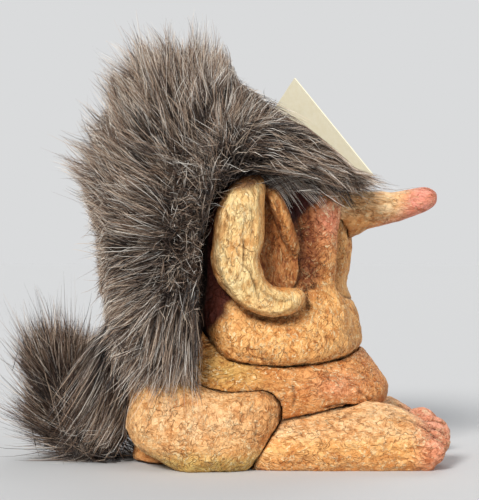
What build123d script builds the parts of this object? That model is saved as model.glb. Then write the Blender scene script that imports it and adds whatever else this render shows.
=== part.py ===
from build123d import *
from math import cos, dist, pi, sin
import os

os.makedirs("parts", exist_ok=True)

# The figure squats on the plane z = 0 and looks along +X. Its right side is -Y.
# Every moulded lump is drawn by rings: a height, then the ring's points on one side.

# General sizes
glue_line = 0.2
pelt_thick = 1.2
hair_gap = 0.2
dowel_fit = 0.05
mirror_plane = Plane.XZ

# Head: height, then front middle, muzzle side, cheek fold, cheek front, side points, back middle
head_rings = [
    (33.5, [(30, 0), (29, 7), (27, 12), (24, 16), (18, 20), (9, 22), (0, 20), (-5, 14), (-7, 0)]),
    (36.5, [(40, 0), (38.5, 9), (36, 15), (32, 21), (24, 27.5), (11, 30), (-2, 27), (-8, 18), (-10, 0)]),
    (42.5, [(43.6, 0), (42.4, 9), (39.5, 17), (35, 24), (26, 30), (12, 32.5), (-4, 30), (-11, 20), (-13, 0)]),
    (49, [(43, 0), (41.8, 9), (39.2, 16), (35.5, 23), (26, 28.6), (11, 30.6), (-6, 28.4), (-14, 20), (-17, 0)]),
    (56, [(41, 0), (39.6, 8), (37.4, 14), (35.6, 20.5), (26.5, 26), (9, 27), (-9, 25.6), (-18, 18.6), (-22, 0)]),
    (63, [(39.9, 0), (38.2, 7), (34.6, 12.4), (34.4, 19), (27, 24), (6, 24.6), (-12, 24), (-22, 17.6), (-27, 0)]),
    (72, [(39.4, 0), (37.6, 7), (32.4, 12.4), (33.4, 19), (27, 23.4), (4, 24.2), (-14, 24), (-25, 17), (-30, 0)]),
    (81, [(39.6, 0), (37.6, 7), (32, 12.4), (33.6, 19), (27, 23.6), (3, 24.6), (-15, 24.4), (-26, 17), (-31, 0)]),
    (90, [(38, 0), (35.6, 7), (30.4, 12.6), (34.4, 19.4), (27, 24), (2, 25), (-15, 24.6), (-25.6, 17), (-30.5, 0)]),
    (98, [(33, 0), (31.4, 7), (28.4, 12.6), (29.4, 18), (22.6, 22.6), (1, 24), (-14, 23), (-22.6, 16), (-27, 0)]),
]
head_widest = 85
# The crown closes over the last ring: height, then the ring's share of full size
crown_shares = [(103, 0.91), (107.6, 0.75), (110.8, 0.54), (112.4, 0.28)]
head_rings += [(height, [(share * x, share * y) for x, y in head_rings[-1][1]]) for height, share in crown_shares]

# Belly and back, drawn the same way with eight points a side
torso_rings = [
    (0, [(9, 0), (8, 8), (5, 13), (-2, 18), (-12, 20), (-23, 18), (-29.6, 11), (-32, 0)]),
    (5, [(22, 0), (21, 8), (17, 15), (6, 23), (-9, 25.6), (-22, 22.6), (-32, 13), (-35.4, 0)]),
    (12, [(36, 0), (34, 10), (29, 18), (14, 25), (-6, 28), (-21, 25.6), (-32.4, 15), (-36.6, 0)]),
    (18, [(46, 0), (44.4, 10), (39, 19), (22, 27.4), (0, 30.4), (-19, 28), (-32, 17), (-36.5, 0)]),
    (22, [(52, 0), (50.4, 10), (45, 19), (27, 28), (3, 31.4), (-18, 29), (-32, 17), (-36.5, 0)]),
    (26.5, [(53, 0), (51.4, 10), (46, 19), (28, 28.4), (3, 31.6), (-18, 29), (-31.5, 17), (-36, 0)]),
    (32, [(49.8, 0), (48.2, 9), (43, 17.6), (26, 27), (2, 30.4), (-18, 28.4), (-31, 17), (-35, 0)]),
    (37, [(46.6, 0), (45, 8), (40, 16), (24, 25), (1, 28), (-18, 26.6), (-30, 16), (-34, 0)]),
    (41.5, [(42, 0), (40.6, 7), (35, 14), (21, 22), (0, 25), (-17, 24), (-28.6, 15), (-32.6, 0)]),
    (46, [(32, 0), (30.6, 6), (26, 12), (15, 19), (-2, 22.6), (-17, 22), (-27, 14), (-31.4, 0)]),
]
torso_widest = 26
# The nape closes the back the same way, drawn in towards a spot under the skull
nape_hub = -14
nape_shares = [(50.6, 0.83), (55, 0.66), (59, 0.45), (61.4, 0.22)]
torso_rings += [
    (height, [(nape_hub + share * (x - nape_hub), share * y) for x, y in torso_rings[-1][1]])
    for height, share in nape_shares
]

# Haunch: side outline around the hip, and its share of full size at each distance from the middle
haunch_outline = [
    (-20, -1.6), (-28.4, 3), (-35.2, 7.4), (-38.8, 14), (-38, 22), (-36.6, 31), (-33.4, 40), (-28, 41.4),
    (-22, 35.6), (-14, 30), (-5, 27.6), (4.6, 27.8), (11.4, 27.4), (15, 23.6), (14.8, 17.6), (12, 11.4),
    (8.6, 5), (3, -0.6), (-8, -2),
]
haunch_hub = (-13, 14)
haunch_slices = [(6.5, 0.74), (12, 0.92), (19, 1.0), (26, 0.985), (32, 0.91), (36, 0.78), (38.6, 0.56), (39.8, 0.28)]

# Foot: distance forward, half width, top
foot_middle = 21.5
foot_slices = [
    (2, 7, 9), (8, 10.4, 15), (16, 12, 18.8), (28, 12.6, 20.6), (40, 12.8, 21.6), (50, 12.8, 21.4),
    (58, 12.6, 19.2), (63, 12, 16.4), (66, 10.4, 13),
]
# Toes, outer one first: distance forward, distance from the foot's middle, height, half width, half height
toe_places = [
    (62.8, 9.2, 6.2, 3.5, 4.9), (64.6, 3.6, 7.6, 3.5, 5.6), (66.2, -2.1, 8.8, 3.5, 6.2), (66.9, -8, 9.9, 4, 6.9),
]
toe_half_long = 6.8
# Half a foot's section: share of the half width and share of the height, from the sole up
foot_section_shares = [(0.8, 0), (1, 0.33), (0.66, 0.8), (0, 1)]

# Nose: distance forward, middle height, half height, half width
nose_slices = [
    (28, 88, 9.4, 9), (34, 87.8, 9.6, 9), (39.2, 88, 8.6, 8.2), (44, 88.8, 7.1, 7), (49, 89.7, 6.1, 6.2),
    (55, 90.4, 5.5, 5.7), (61.6, 91.8, 4.95, 5.3), (66.2, 93, 4.45, 4.9), (69.4, 93.5, 3.1, 3.5),
    (70.9, 93.6, 1.1, 1.3),
]

# Ear: a thick rim that curls round the hollow, as place, half width across, half depth, distance from middle
rim_slices = [
    (6.4, 99.4, 1.6, 2.4, 30), (4, 96.2, 5, 6.4, 31), (2, 92.6, 6.4, 8, 32), (0.2, 86, 8.2, 9, 33),
    (-0.5, 79, 8.4, 9.4, 33.4), (-1.4, 72.4, 8, 9.4, 33.2), (0.4, 66.4, 7.4, 9, 32.8), (4, 61.2, 6, 8.4, 32.2),
    (9, 58, 5.2, 7.8, 31.8), (14.6, 57.4, 4.8, 7, 31.4), (19, 58.8, 3.6, 5.6, 30.4), (21.4, 60.4, 1.4, 2.6, 29.6),
]
# The low ridge in front of the hollow, given the same way
ridge_slices = [
    (8.6, 96.4, 1.2, 2.2, 27.4), (11, 94, 2.2, 4, 27.8), (13.4, 89.4, 2.6, 4.8, 28), (15.4, 84, 2.4, 4.4, 27.4),
    (17.2, 79, 2.1, 3.6, 26.4), (19, 74, 1.2, 2, 25.6),
]
# The floor of the hollow
ear_floor = [(6, 95), (0, 88), (-2, 78), (0, 68), (8, 60), (17, 60), (20, 68), (18.5, 78), (15.6, 87), (11, 95)]
ear_floor_low = 21
ear_floor_high = 26.2

# Eyes
eye_radius = 4
eye_place = (28.8, 12.6, 92.6)

# Fur: side outline of the mane, and its share of full size at each distance from the middle
mane_outline = [
    (50, 97), (46.6, 104), (39.6, 111.4), (32, 118.4), (22.6, 124.4), (12.6, 128.6), (3.4, 135.6), (-8, 142.6),
    (-21.6, 145.2), (-34, 143), (-42, 135), (-48, 125), (-52.6, 113), (-57, 103), (-59.2, 91), (-58, 80),
    (-58, 70), (-57, 60), (-51.6, 53), (-48.6, 46), (-45.4, 38), (-38, 33), (-26, 31), (-15, 36),
    (-12, 48), (-10.6, 60), (-10.4, 74), (-8.6, 87), (-2, 97.6), (8, 100.6), (20, 99.6), (34, 96),
]
mane_hub = (-18, 92)
mane_slices = [
    (0, 1.0), (12, 0.985), (22, 0.94), (31, 0.85), (38, 0.71), (42.6, 0.5), (44.4, 0.28),
]
flank_places = [(-25, 30, 49), (-22, 33, 44)]
flank_radii = (10.5, 8, 20)

# Tail: a knot in a socket of the rump, a wire that holds the curl, and the fur round it
knot_place = (-33, 0, 10)
knot_radius = 4.5
knot_high = 9
knot_clear = 0.3
tail_neck = 1.5
tail_neck_end = -42.4
tail_outline = [
    (-40.4, 7), (-44, 1.4), (-55.6, 0.8), (-66, 3.4), (-71.2, 10.4), (-73.6, 21), (-76.2, 31.6), (-73, 39),
    (-65, 41.4), (-57, 39.6), (-49.6, 35), (-43.8, 28), (-41.2, 18),
]
tail_hub = (-57, 20)
tail_slices = [(0, 1.0), (5, 0.97), (9.6, 0.85), (13, 0.62), (14.6, 0.32)]
wire_radius = 0.7
wire_run = [(-33, 10), (-44, 10), (-55, 12.6), (-61.6, 22), (-66, 34)]

# Dowels inside
neck_dowel_radius = 4
neck_dowel_low = 18
neck_dowel_high = 66
neck_dowel_forward = 2
hip_dowel_radius = 3
hip_dowel_half = 27
hip_dowel_place = (-12, 15)
nose_peg_radius = 2.2
nose_peg_sunk = 8
nose_root, nose_neck = nose_slices[0], nose_slices[4]
nose_ends = [(nose_root[0] - nose_peg_sunk, 0, nose_root[1]), (nose_neck[0], 0, nose_neck[1])]

# The space under the figure
ground_wide = 400
ground_deep = 40

# Paper tag: its lowest corner outside, the way its long edge rises, the way it is tucked in and the card
tag_corner = (48.63, 7.82, 102.66)
tag_long_way = (-0.602, 0.35, 0.799)
tag_short_way = (-0.574, 0.88, -0.819)
tag_long = 49
tag_short = 26
tag_thick = 0.6
tag_slot = 0.35
tag_slot_long = 70

oval_points = 10


def two_sided(points):
    """Mirrors a half ring, front middle to back middle, into a whole one."""
    back = [(x, -y) for x, y in reversed(points[1:-1])]
    return points + back


def grown(points, gap):
    """Moves a ring's points outwards from its middle by the gap."""
    middle = (sum(u for u, v in points) / len(points), sum(v for u, v in points) / len(points))
    out = []
    for u, v in points:
        reach = dist((u, v), middle)
        out.append((u + gap * (u - middle[0]) / reach, v + gap * (v - middle[1]) / reach))
    return out


def shared_steps(stack, closed=True):
    """Steps along every ring of a stack alike, from the sum of their chords, so that lofts stay light."""
    steps = [0]
    count = len(stack[0])
    for k in range(count if closed else count - 1):
        steps.append(steps[-1] + sum(dist(ring[k], ring[(k + 1) % count]) for ring in stack))
    return steps


def closed_curve(points, steps):
    """A smooth closed curve through a ring's points."""
    return Edge.make_spline([Vector(*point) for point in points], periodic=True, parameters=steps)


def standing_lump(rings, widest, gap=0):
    """A moulded lump lofted upwards through its rings, larger all round by the gap."""
    whole_rings = [(height, two_sided(half)) for height, half in rings]
    steps = shared_steps([points for height, points in whole_rings])
    with BuildPart() as lump:
        for height, points in whole_rings:
            level = height - gap if height < widest else height + gap
            with BuildSketch(Plane.XY.offset(level)):
                with BuildLine():
                    add(closed_curve(grown(points, gap), steps))
                make_face()
        loft()
    return lump.part


def side_lump(outline, hub, slices, gap=0, whole=False):
    """A lump lofted sideways through copies of its side outline, larger all round by the gap."""
    rows = list(slices)
    if whole:
        rows = [(-place, share) for place, share in reversed(slices) if place > 0] + rows
    low, high = rows[0][0], rows[-1][0]
    steps = shared_steps([outline])
    with BuildPart() as lump:
        for place, share in rows:
            level = place
            if place == low:
                level = place - gap
            if place == high:
                level = place + gap
            points = [(hub[0] + share * (x - hub[0]), hub[1] + share * (z - hub[1])) for x, z in outline]
            with BuildSketch(Plane.XZ.offset(-level)):
                with BuildLine():
                    add(closed_curve(grown(points, gap), steps))
                make_face()
        loft()
    return lump.part


def ring_section(place, way, across, half_across, half_deep):
    """A closed oval on the plane through a place, square to the way it runs."""
    turns = [2 * pi * k / oval_points for k in range(oval_points)]
    points = [(half_across * cos(turn), half_deep * sin(turn)) for turn in turns]
    with BuildSketch(Plane(origin=place, x_dir=across, z_dir=way)) as oval:
        with BuildLine():
            add(closed_curve(points, [*turns, 2 * pi]))
        make_face()
    return oval.sketch


def roll(slices, gap=0):
    """A thick rim through ovals set along a run in side view; each oval is square to the run."""
    sections = []
    for k, (x, z, half_across, half_deep, out) in enumerate(slices):
        before = slices[max(k - 1, 0)]
        after = slices[min(k + 1, len(slices) - 1)]
        way = Vector(after[0] - before[0], after[4] - before[4], after[1] - before[1]).normalized()
        across = Vector(way.Z, 0, -way.X).normalized()
        sections.append(ring_section((x, out, z), way, across, half_across + gap, half_deep + gap))
    return loft(sections)


def largest(shape):
    """The biggest solid of a cut shape, so that no loose flake stays."""
    return max(shape.solids(), key=lambda solid: solid.volume)


def carved(shape, seats):
    """A shape with its seats cut away one after another."""
    for seat in seats:
        shape = largest(shape - seat)
    return shape


def foot_lump(gap=0):
    """A flat-soled foot lofted forwards, with four toes, larger all round by the gap."""
    right = [(-wide, high) for wide, high in reversed(foot_section_shares[:-1])]
    section = foot_section_shares + right
    stack = [[(wide * half, high * top) for wide, high in section] for place, half, top in foot_slices]
    steps = shared_steps(stack, closed=False)
    first, last = foot_slices[0][0], foot_slices[-1][0]
    with BuildPart() as lump:
        for place, half, top in foot_slices:
            level = place
            if place == first:
                level = place - gap
            if place == last:
                level = place + gap
            points = [(wide * (half + gap), high * (top + 2 * gap) - gap) for wide, high in section]
            with BuildSketch(Plane.YZ.offset(level)):
                with BuildLine():
                    Line(points[0], points[-1])
                    add(Edge.make_spline([Vector(*point) for point in points], parameters=steps))
                make_face()
        loft()
    whole = lump.part
    for forward, out, height, half_wide, half_high in toe_places:
        toe = scale(Rot(0, 90, 0) * Sphere(1), by=(toe_half_long + gap, half_wide + gap, half_high + gap))
        whole = whole + Pos(forward, out, height) * toe
    return Pos(0, foot_middle, 0) * whole


def ear_lump(gap=0):
    """The rim, the ridge and the floor of an ear, larger all round by the gap."""
    with BuildPart() as lump:
        add(roll(rim_slices, gap))
        add(roll(ridge_slices, gap))
        with BuildSketch(Plane.XZ.offset(-(ear_floor_high + gap))):
            with BuildLine():
                add(closed_curve(grown(ear_floor, gap), shared_steps([ear_floor])))
            make_face()
        extrude(amount=ear_floor_high - ear_floor_low)
    return lump.part


def nose_lump(gap=0):
    """The long nose lofted forwards through ovals, larger all round by the gap."""
    sections = []
    for place, middle, half_high, half_wide in nose_slices:
        spot = place + gap if place == nose_slices[-1][0] else place
        sections.append(ring_section((spot, 0, middle), (1, 0, 0), (0, 1, 0), half_wide + gap, half_high + gap))
    return loft(sections)


def blob(place, radii):
    """An egg of fur."""
    return Pos(*place) * scale(Sphere(1), by=radii)


def card(extra_thick, up, margin):
    """The flat card, or the slot round it."""
    long_way = Vector(*tag_long_way).normalized()
    short_way = Vector(*tag_short_way).normalized()
    plane = Plane(origin=tag_corner, x_dir=long_way, z_dir=long_way.cross(short_way))
    with BuildPart(plane) as sheet:
        with Locations((tag_long / 2, (tag_short - up) / 2)):
            Box(tag_long + 2 * margin, tag_short + up + 2 * margin, tag_thick + 2 * extra_thick)
    return sheet.part


def dowel(radius, start, end, gap=0):
    """A round dowel from its start to its end, or its hole."""
    way = Vector(*end) - Vector(*start)
    plane = Plane(origin=start, z_dir=way)
    with BuildPart(plane) as rod:
        Cylinder(radius + gap, way.length, align=(Align.CENTER, Align.CENTER, Align.MIN))
    return rod.part


head_lump = standing_lump(head_rings, head_widest)
head_seat = standing_lump(head_rings, head_widest, glue_line)
head_pelt = standing_lump(head_rings, head_widest, glue_line + pelt_thick)
torso_lump = standing_lump(torso_rings, torso_widest)
torso_seat = standing_lump(torso_rings, torso_widest, glue_line)
torso_pelt = standing_lump(torso_rings, torso_widest, glue_line + pelt_thick)
haunch_left_lump = side_lump(haunch_outline, haunch_hub, haunch_slices)
haunch_left_seat = side_lump(haunch_outline, haunch_hub, haunch_slices, glue_line)
haunch_right_seat = mirror(haunch_left_seat, mirror_plane)
foot_left_lump = foot_lump()
foot_left_seat = foot_lump(glue_line)
foot_right_seat = mirror(foot_left_seat, mirror_plane)
ear_left_lump = ear_lump()
ear_left_seat = ear_lump(hair_gap)
nose_whole = nose_lump()
tail_whole = side_lump(tail_outline, tail_hub, tail_slices, whole=True)
mane_whole = side_lump(mane_outline, mane_hub, mane_slices, whole=True)

# Holes and sockets cut in the lumps
below = Pos(0, 0, -ground_deep / 2) * Box(ground_wide, ground_wide, ground_deep)
neck_ends = [(neck_dowel_forward, 0, neck_dowel_low), (neck_dowel_forward, 0, neck_dowel_high)]
hip_x, hip_z = hip_dowel_place
hip_ends = [(hip_x, -hip_dowel_half, hip_z), (hip_x, hip_dowel_half, hip_z)]
neck_hole = dowel(neck_dowel_radius, *neck_ends, dowel_fit)
hip_hole = dowel(hip_dowel_radius, *hip_ends, dowel_fit)
nose_hole = dowel(nose_peg_radius, *nose_ends, dowel_fit)
knot_whole = Pos(*knot_place) * Cylinder(knot_radius, knot_high)
knot_socket = Pos(*knot_place) * Cylinder(knot_radius + knot_clear, knot_high + 2 * knot_clear)
eye_left_ball = Pos(*eye_place) * Rot(0, 90, 0) * Sphere(eye_radius)
eye_left_socket = Pos(*eye_place) * Rot(0, 90, 0) * Sphere(eye_radius + glue_line)
eye_right_socket = mirror(eye_left_socket, mirror_plane)

with BuildPart() as neck_dowel:
    add(dowel(neck_dowel_radius, *neck_ends))
with BuildPart() as hip_dowel:
    add(dowel(hip_dowel_radius, *hip_ends))
with BuildPart() as nose_peg:
    add(dowel(nose_peg_radius, *nose_ends))

with BuildPart() as head:
    add(carved(head_lump, [neck_hole, nose_hole, eye_left_socket, eye_right_socket]))

with BuildPart() as torso:
    add(carved(torso_lump, [
        head_seat, haunch_left_seat, haunch_right_seat, foot_left_seat, foot_right_seat,
        neck_hole, hip_hole, knot_socket, below,
    ]))

with BuildPart() as haunch_left:
    add(carved(haunch_left_lump, [hip_hole, knot_socket, below]))
with BuildPart() as haunch_right:
    add(mirror(haunch_left.part, mirror_plane))

with BuildPart() as foot_left:
    add(carved(foot_left_lump, [haunch_left_seat, below]))
with BuildPart() as foot_right:
    add(mirror(foot_left.part, mirror_plane))

with BuildPart() as nose:
    add(carved(nose_whole, [head_seat, nose_hole]))

with BuildPart() as ear_left:
    add(carved(ear_left_lump, [head_seat]))
with BuildPart() as ear_right:
    add(mirror(ear_left.part, mirror_plane))

with BuildPart() as eye_left:
    add(eye_left_ball)
with BuildPart() as eye_right:
    add(mirror(eye_left_ball, mirror_plane))

# Tail: knot, neck and wire are one piece, and the fur sits round the wire
wire_ends = [Vector(x, 0, z) for x, z in wire_run]
wire_path = Spline(*wire_ends)
wire_start = Plane(origin=wire_path @ 0, z_dir=wire_path % 0)
wire_bar = sweep(wire_start * Circle(wire_radius), path=wire_path)
wire_hole = sweep(wire_start * Circle(wire_radius + dowel_fit), path=wire_path)
neck_ways = [knot_place, (tail_neck_end, 0, knot_place[2])]
tail_neck_bar = dowel(tail_neck, *neck_ways)
tail_neck_hole = dowel(tail_neck, *neck_ways, dowel_fit)

with BuildPart() as tail_core:
    add(largest(knot_whole + tail_neck_bar + wire_bar))

with BuildPart() as tail_fur:
    add(carved(tail_whole, [wire_hole, tail_neck_hole, below]))

# Tag and the slot it slides in
with BuildPart() as paper_tag:
    add(card(0, 0, 0))
tag_space = card(tag_slot, tag_slot_long, tag_slot)

# Mane: the leather backing on skull and back, and the fur on it
ear_right_seat = mirror(ear_left_seat, mirror_plane)
nose_seat = nose_lump(hair_gap)
seats = [
    ear_left_seat, ear_right_seat, haunch_left_seat, haunch_right_seat, nose_seat, eye_left_socket,
    eye_right_socket, tag_space,
]
scalp = carved(head_pelt & mane_whole, [head_seat, torso_pelt])
back_hide = carved(torso_pelt & mane_whole, [torso_seat, head_seat])
with BuildPart() as mane_pelt:
    add(carved(scalp + back_hide, [haunch_left_seat, haunch_right_seat, nose_seat]))

flanks = [blob((x, side * y, z), flank_radii) for x, y, z in flank_places for side in (1, -1)]
mane_raw = mane_whole
for flank in flanks:
    mane_raw = mane_raw + flank
with BuildPart() as mane_fur:
    add(carved(mane_raw, [head_pelt, torso_pelt, *seats]))

made = [
    ("tail_core", tail_core), ("tail_fur", tail_fur), ("paper_tag", paper_tag), ("mane_pelt", mane_pelt),
    ("mane_fur", mane_fur), ("neck_dowel", neck_dowel), ("hip_dowel", hip_dowel), ("nose_peg", nose_peg),
    ("head", head), ("torso", torso), ("haunch_left", haunch_left), ("haunch_right", haunch_right),
    ("foot_left", foot_left), ("foot_right", foot_right), ("nose", nose), ("ear_left", ear_left),
    ("ear_right", ear_right), ("eye_left", eye_left), ("eye_right", eye_right),
]
for label, builder in made:
    builder.part.label = label
    export_step(builder.part, "parts/" + label + ".step")
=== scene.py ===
import math
import bpy
import bmesh
import numpy as np
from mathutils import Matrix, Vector
from mathutils.bvhtree import BVHTree
from mathutils.kdtree import KDTree


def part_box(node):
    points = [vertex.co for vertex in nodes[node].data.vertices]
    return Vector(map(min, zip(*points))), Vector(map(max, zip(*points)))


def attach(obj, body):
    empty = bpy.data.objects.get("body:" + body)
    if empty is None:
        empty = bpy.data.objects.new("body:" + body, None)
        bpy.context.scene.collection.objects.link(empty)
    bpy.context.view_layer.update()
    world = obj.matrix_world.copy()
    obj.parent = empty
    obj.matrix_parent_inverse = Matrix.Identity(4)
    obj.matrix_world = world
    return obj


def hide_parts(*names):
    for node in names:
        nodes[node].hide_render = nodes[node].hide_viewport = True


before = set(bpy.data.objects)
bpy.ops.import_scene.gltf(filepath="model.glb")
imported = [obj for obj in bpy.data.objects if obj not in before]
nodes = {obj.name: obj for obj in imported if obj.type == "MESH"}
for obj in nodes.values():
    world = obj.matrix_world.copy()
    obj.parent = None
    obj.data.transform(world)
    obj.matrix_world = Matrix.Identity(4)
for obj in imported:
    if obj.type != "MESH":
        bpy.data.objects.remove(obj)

# Lengths are millimetres in the part's frame; meshes, shaders and the camera's clipping are in metres.
MM = 0.001
scene = bpy.context.scene
scene.view_settings.view_transform = "Standard"
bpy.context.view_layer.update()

SKIN_NODES = [
    "head", "torso", "nose", "ear_right", "ear_left", "haunch_right", "haunch_left", "foot_right",
    "foot_left",
]
SKIN_VOXEL = 0.5
HAIR_SHARE = 1.0
MANE_PIECES = 6
MANE_STRANDS = 15500
TAIL_STRANDS = 13000
STRAND_WIDTH = 0.25
TUFT_RISE = 8.0
# The lower edge of the hair over ear, brow and nose, in side view
HAIRLINE = [
    (-30, 40), (-13, 58), (-11, 88), (-7, 95), (-2, 99), (4, 101.5), (12, 101), (22, 100.5), (30, 98),
    (36, 95.5), (60, 93),
]
# The upper edge of the hair over the brow, in side view
BROW_TOP = [
    (-10, 160), (0, 133), (8, 127), (13, 123), (20.7, 117), (27.6, 111), (34.5, 105), (38.6, 101), (60, 97),
]
# The box that strands keep to: tail, nose, each side, top and just over the ground
FUR_BACK, FUR_FRONT, FUR_SIDE, FUR_TOP, FUR_LOW = -89, 75, 54, 158.5, 0.3
# Hair above BROW_TOP and behind BACK_LINE is pressed back towards them by these shares
BROW_PRESS_SHARE, BACK_PRESS_SHARE, BACK_LINE = 0.88, 0.55, -44
# Where most strands over the brow end, and the share of longer ones
BROW_END, BROW_LONGER_SHARE = (43, 49), 0.12
# Strands that end lower than this and in front of this are dropped from the coat
TRIM_LOW, TRIM_FRONT = (19, 30), -37
# In front of this the hair stops at the hairline: how far any strand, and then a stray one, may hang below
FACE_BACK, HANG_ANY, HANG_STRAY, EYE_RISE = -12, 1.2, 9, 4
# How much longer the mane is at its lower edge, and shorter at the lower back
EDGE_MORE, BACK_LESS = 6, 6
# How far the undercoat is raised at the hairline and lowered over the brow
UNDERCOAT_SHIFT = 5.5
# The roots' reach along x, or up the nape, and the least, usual and most length of each group of strands
DRAPE_X, DRAPE_LONG = (-46, -14), (9, 15, 29)
CURTAIN_X, CURTAIN_LONG = (-47, -33), (14, 30, 48)
NAPE_Z, NAPE_LONG = (56, 104), (6, 10, 17)
BROW_X, BROW_LONG = (-12, 36), (7, 12, 22)
FRINGE_X, FRINGE_LONG = (0, 24), (10, 16, 27)
WISP_X, WISP_LONG = (34, 38), (9, 13)
STRAY_X, STRAY_LONG = (-6, 17), (14, 30)


# Noise in space

def hash3(i, j, k, seed):
    n = (i * 374761393 + j * 668265263 + k * 2147483647 + seed * 974634777) & 0xFFFFFFFF
    n = ((n ^ (n >> 13)) * 1274126177) & 0xFFFFFFFF
    n = ((n ^ (n >> 16)) * 2246822519) & 0xFFFFFFFF
    return ((n ^ (n >> 15)) & 0xFFFFFF) / float(0xFFFFFF)


def value_noise(p, size, seed):
    """Smooth noise of 0 to 1 at points, with cells of the given size."""
    q = p / size
    corner = np.floor(q)
    cell = corner.astype(np.int64)
    t = q - corner
    t = t * t * (3 - 2 * t)
    out = np.zeros(len(p))
    for a in (0, 1):
        for b in (0, 1):
            for c in (0, 1):
                weight = (
                    (t[:, 0] if a else 1 - t[:, 0])
                    * (t[:, 1] if b else 1 - t[:, 1])
                    * (t[:, 2] if c else 1 - t[:, 2])
                )
                out += weight * hash3(cell[:, 0] + a, cell[:, 1] + b, cell[:, 2] + c, seed)
    return out


def layered(p, size, octaves, seed, step, gain, crested):
    """Layers of noise, each half as large and fainter by the gain, with sharp ridges where crested."""
    out, amp, total = np.zeros(len(p)), 1.0, 0.0
    for octave in range(octaves):
        level = value_noise(p, size / 2 ** octave, seed + step * octave) * 2 - 1
        out += amp * (1 - np.abs(level) * 2 if crested else level)
        total += amp
        amp *= gain
    return out / total


def lumps(p, size, octaves, seed):
    """Layered noise of about -1 to 1."""
    return layered(p, size, octaves, seed, 17, 0.5, False)


def folds(p, size, octaves, seed):
    """Layered noise with sharp crests and long lines, of about -1 to 1."""
    return layered(p, size, octaves, seed, 31, 0.55, True)


def smooth(x, a, b):
    t = np.clip((x - a) / (b - a), 0, 1)
    return t * t * (3 - 2 * t)


def bump_at(x, z, place, reach):
    """A soft round share of 1 around a place of the side view."""
    return np.exp(-(((x - place[0]) / reach[0]) ** 2 + ((z - place[1]) / reach[1]) ** 2))


# Meshes

def box_of(name):
    """The low and the high corner of a node."""
    return np.array([list(corner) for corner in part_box(name)]) / MM


def ball(name):
    """The middle and the radius of a round node."""
    low, high = box_of(name)
    return (low + high) / 2, (high[0] - low[0]) / 2


def add_object(name, data):
    obj = bpy.data.objects.new(name, data)
    scene.collection.objects.link(obj)
    return obj


def shade_smooth(mesh):
    mesh.polygons.foreach_set("use_smooth", np.ones(len(mesh.polygons), bool))


def clean_mesh(obj, name):
    mesh = obj.data.copy()
    mesh.name = name
    bm = bmesh.new()
    bm.from_mesh(mesh)
    bmesh.ops.remove_doubles(bm, verts=bm.verts, dist=2e-6)
    bm.to_mesh(mesh)
    bm.free()
    return mesh


def remeshed(name, source, voxel, smooth_steps):
    """An even copy of a node's solid, with soft edges."""
    obj = add_object(name, clean_mesh(source, name + "_raw"))
    voxels = obj.modifiers.new("voxels", "REMESH")
    voxels.mode = "VOXEL"
    voxels.voxel_size = voxel * MM
    voxels.use_smooth_shade = True
    soft = obj.modifiers.new("smooth", "SMOOTH")
    soft.iterations = smooth_steps
    soft.factor = 0.5
    graph = bpy.context.evaluated_depsgraph_get()
    done = bpy.data.meshes.new_from_object(obj.evaluated_get(graph))
    obj.modifiers.clear()
    obj.data = done
    done.name = name
    done.materials.clear()
    return obj


def coords(mesh):
    co = np.empty(len(mesh.vertices) * 3)
    mesh.vertices.foreach_get("co", co)
    return co.reshape(-1, 3) / MM


def normals(mesh):
    no = np.empty(len(mesh.vertices) * 3)
    mesh.vertices.foreach_get("normal", no)
    return no.reshape(-1, 3)


def put_coords(mesh, co):
    mesh.vertices.foreach_set("co", (co * MM).ravel())
    mesh.update()


def float_attribute(mesh, name, values):
    layer = mesh.attributes.new(name, "FLOAT", "POINT")
    layer.data.foreach_set("value", np.asarray(values, np.float32))


def vector_attribute(mesh, name, values):
    layer = mesh.attributes.new(name, "FLOAT_VECTOR", "POINT")
    layer.data.foreach_set("vector", np.asarray(values, np.float32).ravel())


def colour_attribute(mesh, name, rgb):
    layer = mesh.attributes.new(name, "FLOAT_COLOR", "POINT")
    out = np.ones((len(rgb), 4), np.float32)
    out[:, :3] = rgb
    layer.data.foreach_set("color", out.ravel())


def tree_of(obj):
    mesh = clean_mesh(obj, obj.name + "_tree")
    verts = [v.co / MM for v in mesh.vertices]
    polys = [tuple(p.vertices) for p in mesh.polygons]
    bpy.data.meshes.remove(mesh)
    return BVHTree.FromPolygons(verts, polys)


def distance_to(tree, points, limit):
    out = np.full(len(points), float(limit))
    for n, p in enumerate(points):
        hit = tree.find_nearest(p, limit)
        if hit[0] is not None:
            out[n] = hit[3]
    return out


def run_distance(points, run):
    """Distance of 2-D points from a run of straight lines, and the share along it."""
    best = np.full(len(points), 1e9)
    where = np.zeros(len(points))
    run = np.array(run, float)
    lengths = np.linalg.norm(run[1:] - run[:-1], axis=1)
    done = 0.0
    for a, b, length in zip(run[:-1], run[1:], lengths):
        d = b - a
        t = np.clip(((points - a) @ d) / (d @ d), 0, 1)
        dist = np.linalg.norm(points - (a + t[:, None] * d), axis=1)
        nearer = dist < best
        best[nearer] = dist[nearer]
        where[nearer] = ((done + t * length) / lengths.sum())[nearer]
        done += length
    return best, where


def unit(v):
    return v / np.maximum(np.linalg.norm(v, axis=-1, keepdims=True), 1e-9)


# Colours

def srgb(r, g, b):
    return tuple(((c / 255 + 0.055) / 1.055) ** 2.4 if c > 10 else c / 255 / 12.92 for c in (r, g, b))


OCHRE = np.array(srgb(250, 190, 118))
PEACH = np.array(srgb(255, 212, 162))
PINK = np.array(srgb(244, 150, 140))
GREEN = np.array(srgb(212, 186, 104))
RUST = np.array(srgb(216, 138, 76))
DARK_RED = np.array(srgb(84, 16, 10))
SHADE_UNDER_FUR = np.array(srgb(34, 18, 14))


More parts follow.
